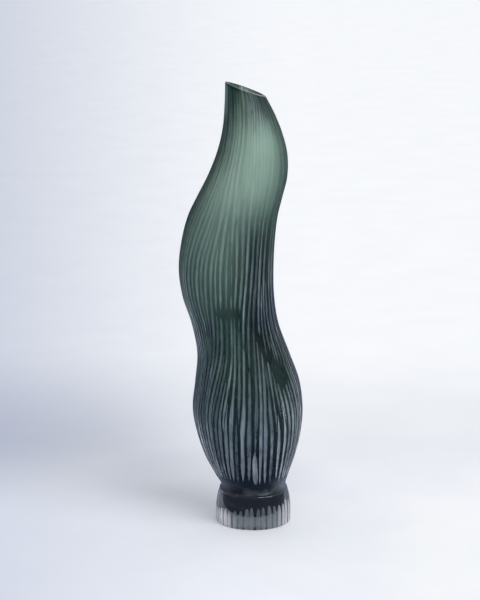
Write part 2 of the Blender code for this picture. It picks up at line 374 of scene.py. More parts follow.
# Turns of one value into another: its low and high, and what they become where that isn't 0 and 1
LIT_BY_SHADING = (1.0, 2.0)
WAIST_BY_LEVEL = (0.082, 0.125, 1.0, 0.0)
UPPER_BY_LEVEL = (0.55, 0.80)
FROST_BY_SHADING = (0.05, 0.45, 0.25, 1.0)
THINNED_LEVELS = (0.78, 0.86)
SKIN_LIT_BY_LEVEL = (0.13, 0.17, 0.52, 0.10)
SOLIDITY_BY_SHADING = (0.35, 0.85, 0.30, 0.0)
SHADE_SOLIDITY_BY_LEVEL = (0.56, 0.70, 1.0, 0.0)
SATIN_BY_LEVEL = (0.2, 0.62, 0.14, 0.36)
ROUGH_BY_POLISH = (0.0, 1.0, 1.0, 0.4)
SKIN_SHADING_POWER = 2.6
CUT_SHADING_POWER = 0.45
LIT_SOLIDITY = 0.40
RIM_SOLIDITY = 0.6
WAIST_SOLIDITY = 0.7
WAIST_ROUGHNESS = 0.36

# The foot's glass, from the floor to the seam. Its lit colour is painted light at its sides.
FOOT_GLASS_HEIGHTS = (0.0, 43 * MM)
FOOT_CLEAR_STOPS = (
    (0.06, (0.28, 0.31, 0.34)),
    (0.30, (0.12, 0.14, 0.17)),
    (0.72, (0.12, 0.15, 0.21)),
    (0.95, (0.14, 0.17, 0.26)),
)
FOOT_CUT_STOPS = (
    (0.10, (0.31, 0.345, 0.365)),
    (0.45, (0.215, 0.245, 0.275)),
    (0.72, (0.30, 0.34, 0.40)),
)
FOOT_LIT_COLOUR = (0.94, 0.96, 1.0)
FOOT_CUT_LIT = (0.0, 0.64)
FOOT_CLEAR_LIT = (0.30, 0.80, 0.0, 0.92)
CLEAR_THROUGH = (0.3, 0.7, 1.0, 0.95)
CUT_THROUGH = (0.0, 1.0, 0.58, 0.36)
FOOT_ROUGH_BY_FROST = (0.0, 1.0, 0.10, 0.40)
FOOT_DEEP_COLOUR = (0.85, 0.88, 0.88)
FOOT_DENSITY = 6.0

# The core's glass
CORE_COLOURS = ((0.012, 0.016, 0.028), (0.050, 0.056, 0.074))
CORE_ROUGHNESS = 0.5
DULL_GLOSS = 0.1

# The floor's colour paints its light, which changes over a fan about a point well in front of the vase, and
# with the way back
FLOOR_REACH = 40.0
FAN_START = 2.6
FAN_LEAST = 1.0
SIDE_BY_BEARING = (-0.18, 0.03)
SIDE_COLOURS = ((0.546, 0.582, 0.680), (0.915, 0.922, 0.935))
SHADE_COLOUR = (0.0, 0.04, 0.20)
# A painted shadow on the floor, left of and behind the foot: its middle, its radii, and how it fades
SHADOW_SPOT_MIDDLE = (-0.06, 0.17)
SHADOW_SPOT_RADII = (0.19, 0.15)
SHADOW_SPOT_BY_OFF = (0.0, 1.0, 0.12, 0.0)

# Bands of painted shade over the floor: how each comes in and goes out on the way back, its strength over the
# fan, its kind, its colour
Tint = namedtuple("Tint", "way_in way_out strength kind colour")
FLOOR_SHADES = (
    Tint((0.12, 0.34), (0.38, 0.87, 1.0, 0.0), (-0.085, 0.0, 0.22, 0.10), "SMOOTHSTEP", SHADE_COLOUR),
    Tint((-41.0, -40.0), (0.0, 0.26, 0.35, 0.0), (0.05, 0.085, 1.0, 0.0), "LINEAR", (0.80, 0.83, 0.93)),
    Tint((0.02, 0.14), (0.17, 0.42, 1.0, 0.0), (-0.03, 0.01, 0.0, 0.05), "LINEAR", (0.0, 0.0, 0.45)),
)
MARKS_COLOUR = (0.30, 0.34, 0.45)
MIRRORED_COLOUR = (0.24, 0.29, 0.42)
FLOOR_ROUGHNESS = 0.9

# The world as it lights things, as it is mirrored and as it is seen, and a broad key from the right
WORLD_COLOUR = (0.96, 0.975, 1.0)
MIRRORED_WORLD = (0.80, 0.88, 1.0)
SEEN_WORLD = (0.90, 0.96, 1.06)
WORLD_STRENGTHS = (0.80, 0.25)
KEY_STRENGTH = 1.40
KEY_ANGLE = 46
KEY_FROM = (0.62, -0.60, 0.68)

# The camera, at the photograph's view
CAMERA_LENS = 124.76
CAMERA_SENSOR = 36.0
CAMERA_PLACE = (-0.0170, -2.5172, 0.8914)
CAMERA_DOWN_ANGLE = 13.515

Section = namedtuple("Section", "rise lean half_width half_depth drop")
Stroke = namedtuple("Stroke", "course low high low_run high_run width wander phase tone wheel tip")
Ring = namedtuple("Ring", "points frost thin kind")
Glass = namedtuple("Glass", "level thin lit waist rim inside frost")


def body_sections():
    """The body's named sections from the seam to the mouth."""
    foot = [(0.0, 0.0, SEAM_RADIUS, SEAM_RADIUS, 0.0), (WAIST_RISE, 0.0, WAIST_RADIUS, WAIST_RADIUS, 0.0)]
    shaped = [
        (r * BODY_HEIGHT, l * SWAY, w * BELLY_RADIUS, w * d * BELLY_RADIUS, f * MOUTH_DROP)
        for r, l, w, d, f in SECTION_SHARES
    ]
    mouth = (BODY_HEIGHT, MOUTH_SWAY, MOUTH_HALF_WIDTH, MOUTH_HALF_DEPTH, MOUTH_DROP)
    return [Section(*row) for row in (*foot, *shaped, mouth)]


SECTIONS = body_sections()


def section_at(rise):
    """The section at a height above the seam, on a smooth curve through the named ones."""
    last = len(SECTIONS) - 1
    i = min(max(sum(s.rise <= rise for s in SECTIONS) - 1, 0), last - 1)
    before, low = SECTIONS[max(i - 1, 0)], SECTIONS[i]
    high, after = SECTIONS[i + 1], SECTIONS[min(i + 2, last)]
    span = high.rise - low.rise
    t = (rise - low.rise) / span

    def curve(field):
        a, b, c, d = (getattr(s, field) for s in (before, low, high, after))
        slope_low = (c - a) / (high.rise - before.rise) * span
        slope_high = (d - b) / (after.rise - low.rise) * span
        from_low = b * (2 * t**3 - 3 * t**2 + 1) + slope_low * (t**3 - 2 * t**2 + t)
        return from_low + c * (3 * t**2 - 2 * t**3) + slope_high * (t**3 - t**2)

    return Section(rise, *(curve(f) for f in Section._fields[1:]))


def smooth(share):
    """Smooth step of a share from 0 to 1."""
    share = np.clip(share, 0.0, 1.0)
    return share * share * (3 - 2 * share)


def wall_at(rise):
    return WALL_AT_BELLY + (WALL_AT_MOUTH - WALL_AT_BELLY) * smooth(rise / BODY_HEIGHT)


def round_angles(count):
    return np.linspace(0, math.tau, count, endpoint=False)


def turn_between(angle, other):
    """The turn from one heading to another, up to half a circle either way."""
    return (angle - other + math.pi) % math.tau - math.pi


def in_zone(zone, rises, sides):
    """How far places lie inside a zone, from 1 in its middle to 0 at its border."""
    across = np.clip(np.abs(sides - zone.side) / zone.half_side, 0, 1)
    along = np.clip(np.abs(rises - zone.rise) / zone.half_rise, 0, 1)
    return np.cos(along * math.pi / 2) ** 2 * np.cos(across * math.pi / 2) ** 2


def turn_rate(rise, headings):
    """How fast cuts of these headings turn round the axis on their way up."""
    low, high = section_at(rise - COURSE_STEP), section_at(rise + COURSE_STEP)
    leaning = (low.lean - high.lean) / (2 * COURSE_STEP)
    widening = (high.half_width - low.half_width) / (2 * COURSE_STEP)
    facing, side = np.sin(headings), np.cos(headings)
    upright = UPRIGHT_SHARE * facing**2 * (leaning + widening * side)
    slope = sum(zone.share * in_zone(zone, rise, side) for zone in SLOPES)
    return facing * (upright - slope) / section_at(rise).half_width


def spaced_angles(rng, count):
    return [math.tau * (i + rng.uniform(-1, 1) * UNEVEN_SHARE) / count for i in range(count)]


def courses_from(headings, start, low, high):
    """Courses through headings at a start height: the heights, and the heading of every cut at each."""
    halves = []
    for rises in (np.arange(start, low, -COURSE_STEP), np.arange(start, high, COURSE_STEP)):
        step = rises[1] - rises[0]
        rows = [headings]
        for rise in rises[1:]:
            rows.append(rows[-1] + step * turn_rate(rise - step / 2, rows[-1]))
        halves.append((rises, np.array(rows)))
    (down, lower), (up, upper) = halves
    return np.concatenate([down[:0:-1], up]), np.concatenate([lower[:0:-1], upper]).T


def new_stroke(rng, family, course, low, high):
    """A cut of a family, along a course of heights and headings."""
    return Stroke(
        course,
        low + rng.uniform(-1, 1) * family.low_spread,
        high + rng.uniform(-1, 1) * family.high_spread,
        family.low_run * rng.uniform(*RUN_SHARES),
        family.high_run * rng.uniform(*RUN_SHARES),
        rng.uniform(*family.widths) * math.tau / family.flutes,
        rng.uniform(-1, 1) * WANDER_SHARE * math.tau / family.flutes,
        rng.uniform(0, math.tau),
        rng.uniform(*TONE_SHARES),
        family.wheel,
        family.tip,
    )


def fill_strokes(rng, rises, course, gap):
    """Short cuts where two long ones draw apart, to the belly or to the mouth."""
    strokes = []
    wide = gap > WIDE_GAP_SHARE * math.tau / LONG.flutes
    between = (rises, course + gap / 2)
    below, above = rises[wide & (rises < COURSE_START)], rises[wide & (rises > COURSE_START)]
    if below.size:
        strokes.append(new_stroke(rng, FILL, between, FILL.low, below.max() + FILL.high_run / 2))
    if above.size:
        strokes.append(new_stroke(rng, FILL, between, above.min() - FILL.low_run / 2, LONG.high))
    if strokes:
        strokes += fill_strokes(rng, rises, course, gap / 2)
        strokes += fill_strokes(rng, rises, course + gap / 2, gap / 2)
    return strokes


def long_strokes(rng):
    """The long cuts, some ended early where they crowd, and the short ones between them."""
    pitch = math.tau / LONG.flutes
    headings = np.array(sorted(spaced_angles(rng, LONG.flutes)))
    rises, courses = courses_from(headings, COURSE_START, COURSE_LOW, BODY_HEIGHT - 2 * COURSE_STEP)
    strokes = []
    low_ended = high_ended = False
    for before, course, after in zip(np.roll(courses, 1, 0), courses, np.roll(courses, -1, 0)):
        gap = (course - before) % math.tau / pitch
        below = rises[(gap < LOW_GAP_SHARE) & (rises < COURSE_START)]
        above = rises[(gap < HIGH_GAP_SHARE) & (rises > COURSE_START)]
        low_ended = bool(below.size) and not low_ended
        high_ended = bool(above.size) and not high_ended
        low = below.max() if low_ended else LONG.low
        high = above.min() if high_ended else LONG.high
        strokes.append(new_stroke(rng, LONG, (rises, course), low, high))
        strokes += fill_strokes(rng, rises, course, (after - course) % math.tau)
    return strokes


def joined(stroke, new):
    """A long cut that runs on along a new lower one's course."""
    long_rises, long_course = stroke.course
    start, long_start = (np.interp(LOWER.high, *c) for c in (new.course, stroke.course))
    apart = turn_between(long_start, start)
    rises, course = (values[new.course[0] < LOWER.high] for values in new.course)
    share = smooth((rises - JOIN_RISE) / (LOWER.high - JOIN_RISE))
    high = long_rises >= LOWER.high
    heights = np.concatenate([rises, long_rises[high]])
    headings = np.concatenate([course + apart * share, start + apart + long_course[high] - long_start])
    return stroke._replace(course=(heights, headings), low=new.low, low_run=new.low_run, tip=new.tip)


def lower_courses(rng):
    """Even courses for the lower cuts, turned alike so that one meets the leaf."""
    tops = np.array(spaced_angles(rng, LOWER.flutes))
    rises, courses = courses_from(tops, LOWER.high, LOWER.low - COURSE_STEP, LOWER.high + 3 * COURSE_STEP)
    at_leaf = np.array([np.interp((LEAF_LOW + LEAF_HIGH) / 2, rises, c) for c in courses])
    off_leaf = turn_between(math.radians(LEAF_ANGLE), at_leaf)
    return rises, courses + off_leaf[np.abs(off_leaf).argmin()]


def with_lower_strokes(rng, strokes):
    """Adds the lower cuts: some carry on from long ones, the others start in forks."""
    pitch = math.tau / LOWER.flutes
    rises, courses = lower_courses(rng)
    starts = np.array([np.interp(LOWER.high, *s.course) for s in strokes])
    free = np.array([s.low < LOWER.high for s in strokes])
    ended = False
    for before, course in zip(np.roll(courses, 1, 0), courses):
        crowded = rises[(course - before) % math.tau < LOW_GAP_SHARE * pitch]
        ended = bool(crowded.size) and not ended
        low = min(crowded.max(), LOWER.high / 2) if ended else LOWER.low
        off_leaf = abs(turn_between(np.interp(LEAF_LOW, rises, course), math.radians(LEAF_ANGLE)))
        if off_leaf < pitch * LEAF_ROOM_SHARE:
            low = LEAF_HIGH
        new = new_stroke(rng, LOWER, (rises, course), low, LOWER.high)
        apart = np.abs(turn_between(starts, np.interp(LOWER.high, rises, course)))
        apart[~free] = math.inf
        nearest = int(apart.argmin())
        if apart[nearest] < JOIN_SHARE * pitch:
            strokes[nearest] = joined(strokes[nearest], new)
            free[nearest] = False
        else:
            strokes.append(new)
    return strokes


def bowl_shape(off, half):
    """Depth across a hollow as a share: 1 in its middle, 0 from its half width on."""
    return np.clip(1 - (off / np.maximum(half, LEAST_WIDTH)) ** 2, 0, 1)


def centre_line(stroke, rises):
    """Headings of a cut's middle at each height."""
    return np.interp(rises, *stroke.course) + stroke.wander * np.sin(rises / WANDER_LENGTH + stroke.phase)


def run_of(stroke, rises, line):
    """How full a cut is along its length: 0 at its pointed ends and over bare places."""
    low_in = np.clip((rises - stroke.low) / stroke.low_run, 0, 1)
    high_in = np.clip((stroke.high - rises) / stroke.high_run, 0, 1)
    run = low_in**stroke.tip * high_in**HIGH_TIP
    uneven = 1 + BARE_UNEVEN_SHARE * math.sin(BARE_UNEVEN_TURNS * stroke.phase)
    for patch in BARE_PATCHES:
        away = turn_between(line, math.radians(patch.angle)) / math.radians(patch.half_angle)
        half = patch.half_height * np.sqrt(np.clip(1 - away**2, 0, 1)) * uneven
        gap = (np.abs(rises - patch.rise) - half) / BARE_BLEND
        run = np.where(np.abs(away) < 1, run * np.clip(gap, 0, 1) ** BARE_TIP, run)
    return run


def half_widths(strokes, rises, mean):
    """Middles and half widths of the cuts at each height, narrowed where they would meet."""
    lines = np.array([centre_line(s, rises) for s in strokes])
    narrowing = np.interp(rises, NARROWING_RISES, NARROWING_SHARES)
    halves = []
    for stroke, line in zip(strokes, lines):
        breadth = 1 + WAVE_SHARE * np.sin(rises / WAVE_LENGTH + WAVE_TURNS * stroke.phase)
        if stroke.wheel != LOWER.wheel:
            breadth = breadth * narrowing * (1 - FINE_ZONE.share * in_zone(FINE_ZONE, rises, np.cos(line)))
        half = np.minimum(stroke.width * mean, WIDEST_CUT) / 2
        halves.append(half * breadth * run_of(stroke, rises, line))
    halves = np.array(halves)
    all_lines = np.vstack([lines, np.full(len(rises), math.radians(LEAF_ANGLE))])
    all_halves = np.vstack([halves, leaf_half_widths(rises)])
    for i, half in enumerate(halves):
        apart = np.abs(turn_between(all_lines, lines[i])) * mean
        room = KEPT_APART_SHARE * apart * half / np.maximum(half + all_halves, LEAST_WIDTH)
        room[(all_halves <= 0) | (np.arange(len(all_lines)) == i)[:, None]] = np.inf
        halves[i] = np.minimum(half, room.min(axis=0))
    return lines, halves


def softness(rises, angles):
    """How soft the edges of the frost are at each place, from 0, crisp, to 1."""
    sides = np.cos(angles)
    share = np.interp(rises, SOFT_RISES, SOFT_SHARES)[:, None]
    share = share * (1 - in_zone(FINE_ZONE, rises[:, None], sides))
    return share * (1 - smooth((np.abs(sides) - SOFT_SIDE_SHARE) / SOFT_FADE_SHARE))


def carve(strokes, rises, angles):
    """Depth and frost of the cuts, for every row and column of the outside."""
    sections = [section_at(r) for r in rises]
    across = np.array([s.half_width for s in sections])[:, None]
    along = np.array([s.half_depth for s in sections])[:, None]
    arc = np.sqrt((across * np.sin(angles)) ** 2 + (along * np.cos(angles)) ** 2)
    lines, halves = half_widths(strokes, rises, (across + along)[:, 0] / 2)
    deepest, next_deepest, full, tone = (np.zeros(arc.shape) for _ in range(4))
    for stroke, line, half in zip(strokes, lines, halves):
        off = np.abs(turn_between(angles, line[:, None])) * arc
        bottom = (half**2 / (2 * stroke.wheel))[:, None]
        depth = bottom * bowl_shape(off, half[:, None])
        wins = depth > deepest
        next_deepest = np.where(wins, deepest, np.maximum(next_deepest, depth))
        deepest = np.where(wins, depth, deepest)
        full = np.where(wins, bottom, full)
        tone = np.where(wins, stroke.tone, tone)
    clear_of = (deepest - next_deepest) / np.maximum(full, LEAST_DEPTH)
    crisp = smooth(clear_of / np.interp(rises, CRISP_RISES, CRISP_EDGE_SHARES)[:, None])
    core = SOFT_CORE_SHARE * clear_of**SOFT_CORE_POWER
    cored = (1 - SOFT_CORE_SHARE) * smooth(clear_of / SOFT_EDGE_SHARE) + core
    soft = softness(rises, angles)
    frost = ((1 - soft) * crisp + soft * cored) * tone
    fade = 1 - (1 - MOUTH_FADE_SHARE) * smooth((rises - (BODY_HEIGHT - MOUTH_FADE)) / MOUTH_FADE)
    return np.minimum(deepest * fade[:, None], DEEPEST_CUT), frost


def fine_streaks(rises, angles):
    """Fine lines that the wheel leaves along the cuts, from -1 to 1."""
    total = np.zeros((len(rises), len(angles)))
    for count, phase, drift in STREAKS:
        total += np.sin(count * angles + phase + (rises / drift)[:, None])
    return total / len(STREAKS)


def leaf_half_widths(rises):
    share = np.clip((rises - LEAF_LOW) / (LEAF_HIGH - LEAF_LOW), 0, 1)
    return LEAF_WIDTH / 2 * np.sqrt(np.maximum(np.sin(math.pi * share**LEAF_LOW_POWER), 0))


def add_leaf(depth, frost, rises, angles):
    """Cuts the broad leaf: a long pointed hollow with a rounded foot."""
    radius = np.array([section_at(r).half_width for r in rises])
    off = np.abs(turn_between(angles, math.radians(LEAF_ANGLE)))[None, :] * radius[:, None]
    bowl = bowl_shape(off, leaf_half_widths(rises)[:, None])
    inside = bowl > 0
    depth = np.where(inside, DEEPEST_CUT * bowl, depth)
    frost = np.where(inside, LEAF_FROST_SHARE * smooth(bowl / LEAF_EDGE_SHARE), frost)
    return depth, frost


def tone_and_shading_at(rises, angles):
    """Share of light at each place: below 1 painted shade, partly for thicker glass, and from 1 to 2 painted
    light.
    """
    heights, sides = rises[:, None], np.cos(angles)
    share = np.ones((len(rises), len(angles)))
    for zone in THICK_AND_SHADED_ZONES:
        share *= 1 - zone.share * in_zone(zone, heights, sides)
    for zone in LIT_ZONES:
        share += (2 - share) * zone.share * in_zone(zone, heights, sides)
    return share


def ring_points(section, inset, angles, cut=0.0):
    """Points of one slanting ring of the body, as rows of x, y, z."""
    x = (section.half_width - inset - cut) * np.cos(angles)
    y = (section.half_depth - inset - cut) * np.sin(angles)
    fall = section.drop / (2 * section.half_width)
    z = FOOT_HEIGHT + JOINT_GAP + section.rise - fall * x
    return np.stack([x - section.lean, y, z], 1)


def stitch(low, high):
    """Faces between two rings of vertex numbers, taken from whichever ring is behind."""
    if len(low) == len(high):
        return list(zip(low, low[1:] + low[:1], high[1:] + high[:1], high))
    faces = []
    i = j = 0
    while i < len(low) or j < len(high):
        a, b = low[i % len(low)], high[j % len(high)]
        if (i + 1) * len(high) <= (j + 1) * len(low):
            i += 1
            faces.append((a, low[i % len(low)], b))
        else:
            j += 1
            faces.append((a, high[j % len(high)], b))
    return faces


def plain_ring(points, kind, thin=1.0):
    """A ring without cuts. The kind names the band of faces that ends at it."""
    return Ring(points, np.zeros(len(points)), np.ones(len(points)) * thin, kind)


def mesh_from_rings(name, rings, material):
    """A closed mesh over rings, with frost, tone and painted shading, and the kinds of its faces as
    attributes.
    """
    starts = np.cumsum([0] + [len(r.points) for r in rings])
    index = [list(range(a, b)) for a, b in zip(starts, starts[1:])]
    faces, labels = [], []
    for low, high, ring in zip(index, index[1:], rings[1:]):
        faces += stitch(low, high)
        labels += [ring.kind] * (len(faces) - len(labels))
    faces += [tuple(reversed(index[0])), tuple(index[-1])]
    labels += [rings[0].kind, rings[-1].kind]
    mesh = bpy.data.meshes.new(name)
    mesh.from_pydata([tuple(p) for r in rings for p in r.points], [], faces)
    for kind in ("rim", "inside"):
        marks = mesh.attributes.new(kind, "FLOAT", "FACE")
        marks.data.foreach_set("value", [float(label == kind) for label in labels])
    for field in ("frost", "thin"):
        layer = mesh.attributes.new(field, "FLOAT", "POINT")
        layer.data.foreach_set("value", np.concatenate([getattr(r, field) for r in rings]))
    mesh.update()
    mesh.shade_smooth()
    mesh.set_sharp_from_angle(angle=math.radians(SHARP_ANGLE))
    mesh.materials.append(material)
    return new_object(name, mesh)


def rim_light(angles):
    """How light the polished rim is painted: painted shade at the back."""
    return 1 - RIM_BACK_SHARE * smooth(0.5 + RIM_STEEPNESS * np.sin(angles))


def outside_rises():
    """Heights of the outside's rings, closer together low down and at the rim."""
    rim_start = BODY_HEIGHT - RIM_ZONE
    return np.concatenate([
        np.arange(SEAM_BEVEL, LOW_ZONE, LOW_ROW),
        np.linspace(LOW_ZONE, rim_start, int((rim_start - LOW_ZONE) / HIGH_ROW), endpoint=False),
        np.linspace(rim_start, BODY_HEIGHT - RIM_BEVEL, int(RIM_ZONE / RIM_ROW)),
    ])


def outside_rings(angles):
    """The body's skin with its cuts, from the seam to the rim."""
    rises = outside_rises()
    rng = random.Random(SEED)
    strokes = with_lower_strokes(rng, long_strokes(rng))
    depth, frost = add_leaf(*carve(strokes, rises, angles), rises, angles)
    streaks = fine_streaks(rises, angles)
    frost = frost * (1 + STREAK_FROST_SHARE * streaks)
    # The outside's painted light and shade, with the tone of the streaks
    thin = tone_and_shading_at(rises, angles) * (1 + STREAK_TONE_SHARE * streaks)
    points = (ring_points(section_at(r), SKIN_INSET, angles, d) for r, d in zip(rises, depth))
    return [Ring(*row, "outside") for row in zip(points, frost, thin)]


def rim_rings(angles, inside):
    """The polished slanting rim, with its bevels."""
    mouth, under_rim = SECTIONS[-1], section_at(BODY_HEIGHT - RIM_BEVEL)
    # The rim's outer edge is painted lighter to the right and darker at the back
    edge_light = rim_light(angles) * (RIM_EDGE_SHARE + RIM_RIGHT_SHARE * np.cos(angles))
    return [
        plain_ring(ring_points(mouth, RIM_BEVEL + SKIN_INSET, angles), "rim", edge_light),
        plain_ring(ring_points(mouth, WALL_AT_MOUTH - RIM_BEVEL, inside), "rim", rim_light(inside)),
        plain_ring(ring_points(under_rim, WALL_AT_MOUTH, inside), "rim", rim_light(inside)),
    ]


def hollow_rings(angles):
    """The smooth hollow, down to its thick rounded floor."""
    full = FLOOR_RISE + FLOOR_ROUND
    rises = np.linspace(BODY_HEIGHT - UNDER_RIM, full, INSIDE_ROWS)
    rings = [plain_ring(ring_points(section_at(r), wall_at(r), angles), "inside") for r in rises]
    for k in range(1, FLOOR_STEPS):
        turn = math.pi / 2 * k / FLOOR_STEPS
        rise = full - FLOOR_ROUND * math.sin(turn)
        section = section_at(rise)
        half = (section.half_width - wall_at(rise)) * math.cos(turn)
        rings.append(plain_ring(ring_points(section, section.half_width - half, angles), "inside"))
    return rings


def body_rings():
    """The carved body: cut outside, polished rim and smooth hollow."""
    angles, inside = round_angles(BODY_COLUMNS), round_angles(INSIDE_COLUMNS)
    end = ring_points(section_at(0.0), SEAM_BEVEL, angles) - (0, 0, JOINT_GAP + FUSED)
    return [
        plain_ring(end, "under"),
        *outside_rings(angles),
        *rim_rings(angles, inside),
        *hollow_rings(inside),
    ]


def foot_radius_at(height):
    """The foot's outline: a slight taper low down, and a long curve in to the seam."""
    if height < FOOT_WIDEST:
        return FOOT_RADIUS - FOOT_BASE_TAPER * (1 - height / FOOT_WIDEST) ** 2
    share = (height - FOOT_WIDEST) / (FOOT_HEIGHT - FOOT_WIDEST)
    return FOOT_RADIUS - (FOOT_RADIUS - SEAM_RADIUS) * share**2


def foot_points(radius, height, angles, cut=0.0):
    """Points of one level ring about the foot's axis."""
    reach = radius - cut
    return np.stack([reach * np.cos(angles), reach * np.sin(angles), np.full(len(angles), height)], 1)


def carve_foot(rng, heights, angles):
    """Depth and frost of the cuts round the foot's lower half."""
    radii = np.array([foot_radius_at(h) for h in heights])
    depth = np.zeros((len(heights), len(angles)))
    frost = np.zeros(depth.shape)
    for i in range(FOOT_FLUTES):
        angle = math.tau * (i + rng.uniform(-UNEVEN_SHARE, UNEVEN_SHARE)) / FOOT_FLUTES
        tilt = math.cos(angle - math.radians(FOOT_TILT_ANGLE))
        top = FOOT_CUT_TOP + FOOT_CUT_TILT * tilt + rng.uniform(-1, 1) * FOOT_CUT_SPREAD
        run = np.clip((top - heights) / FOOT_CUT_RUN, 0, 1)
        width = rng.uniform(*FOOT_WIDTH_SHARES) * math.tau * radii / FOOT_FLUTES
        half = width / 2 * np.sqrt(1 - (1 - run) ** 2)
        off = np.abs(turn_between(angles, angle)) * radii[:, None]
        bowl = bowl_shape(off, half[:, None])
        depth = np.maximum(depth, (half**2 / (2 * FOOT_WHEEL))[:, None] * bowl)
        tone = rng.uniform(*FOOT_TONE_SHARES)
        frost = np.maximum(frost, smooth(bowl / FOOT_EDGE_SHARE) * tone)
    return depth, frost


def weld_frost_and_highlight(angles, height):
    """How pale the weld's uneven line under the seam is: frost that also paints the seam's highlight."""
    uneven = WELD_SHARE + sum(share * np.sin(count * angles + phase) for count, phase, share in WELD_WAVES)
    return uneven * smooth((height - FOOT_HEIGHT) / WELD_LINE + WELD_LINES_DOWN)


def foot_tone_and_shading(angles, height):
    """How clear the foot looks: clearest, with painted light, at its sides, and least on top."""
    sides = np.cos(angles)
    start, run = FOOT_SPREAD_SHARES
    high_up = smooth((height / FOOT_HEIGHT - start) / run)
    smoke_side = FOOT_SMOKE_SIDE + FOOT_SMOKE_SPREAD * high_up * smooth(FOOT_STEEPNESS * sides)
    off = np.abs(sides - FOOT_SMOKE_MIDDLE)
    clear = smooth((off - smoke_side) / (FOOT_CLEAR_SIDE - smoke_side))
    return clear * (1 - FOOT_TOP_SHARE * height / FOOT_HEIGHT)


def core_outline(grow):
    """The core's outline as (radius, height) points, top to bottom, pushed out by grow below the top."""
    radius = SEAM_RADIUS - CASING_WALL - JOINT_GAP + grow
    floor = CASING_FLOOR + JOINT_GAP - grow
    rounding = CORE_ROUND + grow
    points = [(radius, FOOT_HEIGHT), (radius, floor + rounding)]
    for k in range(1, CORE_STEPS + 1):
        turn = math.pi / 2 * k / CORE_STEPS
        points.append((radius - rounding * (1 - math.cos(turn)), floor + rounding * (1 - math.sin(turn))))
    return points


def foot_rings():
    """The fluted clear casing of the foot. Its socket lies just inside the core's skin."""
    angles, inside = round_angles(FOOT_COLUMNS), round_angles(SOCKET_COLUMNS)
    heights = np.arange(FOOT_CLEARANCE + FOOT_BEVEL, FOOT_HEIGHT - FOOT_BEVEL, FOOT_ROW)
    depth, frost = carve_foot(random.Random(SEED + 1), heights, angles)
    radius = foot_radius_at(0.0) - FOOT_BEVEL - SKIN_INSET
    rings = [plain_ring(foot_points(radius, FOOT_CLEARANCE, angles, depth[0]), "under")]
    for row, height in enumerate(heights):
        points = foot_points(foot_radius_at(height) - SKIN_INSET, height, angles, depth[row])
        pale = np.maximum(frost[row], weld_frost_and_highlight(angles, height))
        # Each ring carries the foot's painted light and shade
        rings.append(Ring(points, pale, foot_tone_and_shading(angles, height), "outside"))
    seam = FOOT_HEIGHT - SEAM_BEVEL
    for radius, height in ((foot_radius_at(seam), seam), (SEAM_RADIUS - SEAM_BEVEL, FOOT_HEIGHT)):
        rings.append(plain_ring(foot_points(radius - SKIN_INSET, height, angles), "outside"))
    socket = [plain_ring(foot_points(r, h, inside), "inside") for r, h in core_outline(-FUSED)]
    return rings + socket


def core_rings():
    """The dark glass heart of the foot."""
    angles = round_angles(SOCKET_COLUMNS)
    return [plain_ring(foot_points(r, h, angles), "outside") for r, h in reversed(core_outline(0.0))]


def new_object(name, data):
    thing = bpy.data.objects.new(name, data)
    bpy.context.scene.collection.objects.link(thing)
    return thing


def new_material(name):
    material = bpy.data.materials.new(name)
    material.use_nodes = True
    tree = material.node_tree
    return material, tree, tree.nodes["Principled BSDF"]


def attach(tree, value, socket):
    """Links a socket to a node's output, or sets it to a plain value."""
    if isinstance(value, bpy.types.NodeSocket):
        tree.links.new(value, socket)
    elif hasattr(value, "__len__"):
        socket.default_value = (*value, 1.0)
    else:
        socket.default_value = value


def set_inputs(tree, node, values):
    """Links or sets a node's inputs by name."""
    for name, value in values.items():
        attach(tree, value, node.inputs[name])


def maths(tree, operation, a, b=0.0):
    node = tree.nodes.new("ShaderNodeMath")
    node.operation = operation
    attach(tree, a, node.inputs[0])
    attach(tree, b, node.inputs[1])
    return node.outputs[0]


def ramp(tree, value, stops):
    """A colour ramp over a value, with (place, colour) stops."""
    node = tree.nodes.new("ShaderNodeValToRGB")
    elements = node.color_ramp.elements
    while len(elements) < len(stops):
        elements.new(0.5)
    for element, (place, colour) in zip(elements, stops):
        element.position = place
        element.color = (*colour, 1.0) if hasattr(colour, "__len__") else (colour, colour, colour, 1.0)
    tree.links.new(value, node.inputs["Fac"])
    return node.outputs["Color"]


def times(tree, *values):
    """The product of two or more values."""
    product = values[0]
    for value in values[1:]:
        product = maths(tree, "MULTIPLY", product, value)
    return product


def remap(tree, value, low, high, to_low=0.0, to_high=1.0, kind="LINEAR"):
    """A value turned into another: low becomes to_low, and high becomes to_high."""
    node = tree.nodes.new("ShaderNodeMapRange")
    node.interpolation_type = kind
    turn = {"Value": value, "From Min": low, "From Max": high, "To Min": to_low, "To Max": to_high}
    set_inputs(tree, node, turn)
    return node.outputs["Result"]


def eased(tree, value, *turn):
    """A value turned into another, with soft ends."""
    return remap(tree, value, *turn, kind="SMOOTHSTEP")


def mixed(tree, share, a, b, blend="MIX"):
    """A colour between two others."""
    node = tree.nodes.new("ShaderNodeMix")
    node.data_type = "RGBA"
    node.blend_type = blend
    sockets = {s.name: s for s in node.inputs if s.enabled}
    for name, value in {"Factor": share, "A": a, "B": b}.items():
        attach(tree, value, sockets[name])
    return [s for s in node.outputs if s.enabled][0]


def object_place(tree):
    """The x, y and z of a point in its object's own space."""
    coords = tree.nodes.new("ShaderNodeTexCoord")
    split = tree.nodes.new("ShaderNodeSeparateXYZ")
    tree.links.new(coords.outputs["Object"], split.inputs[0])
    return split.outputs["X"], split.outputs["Y"], split.outputs["Z"]


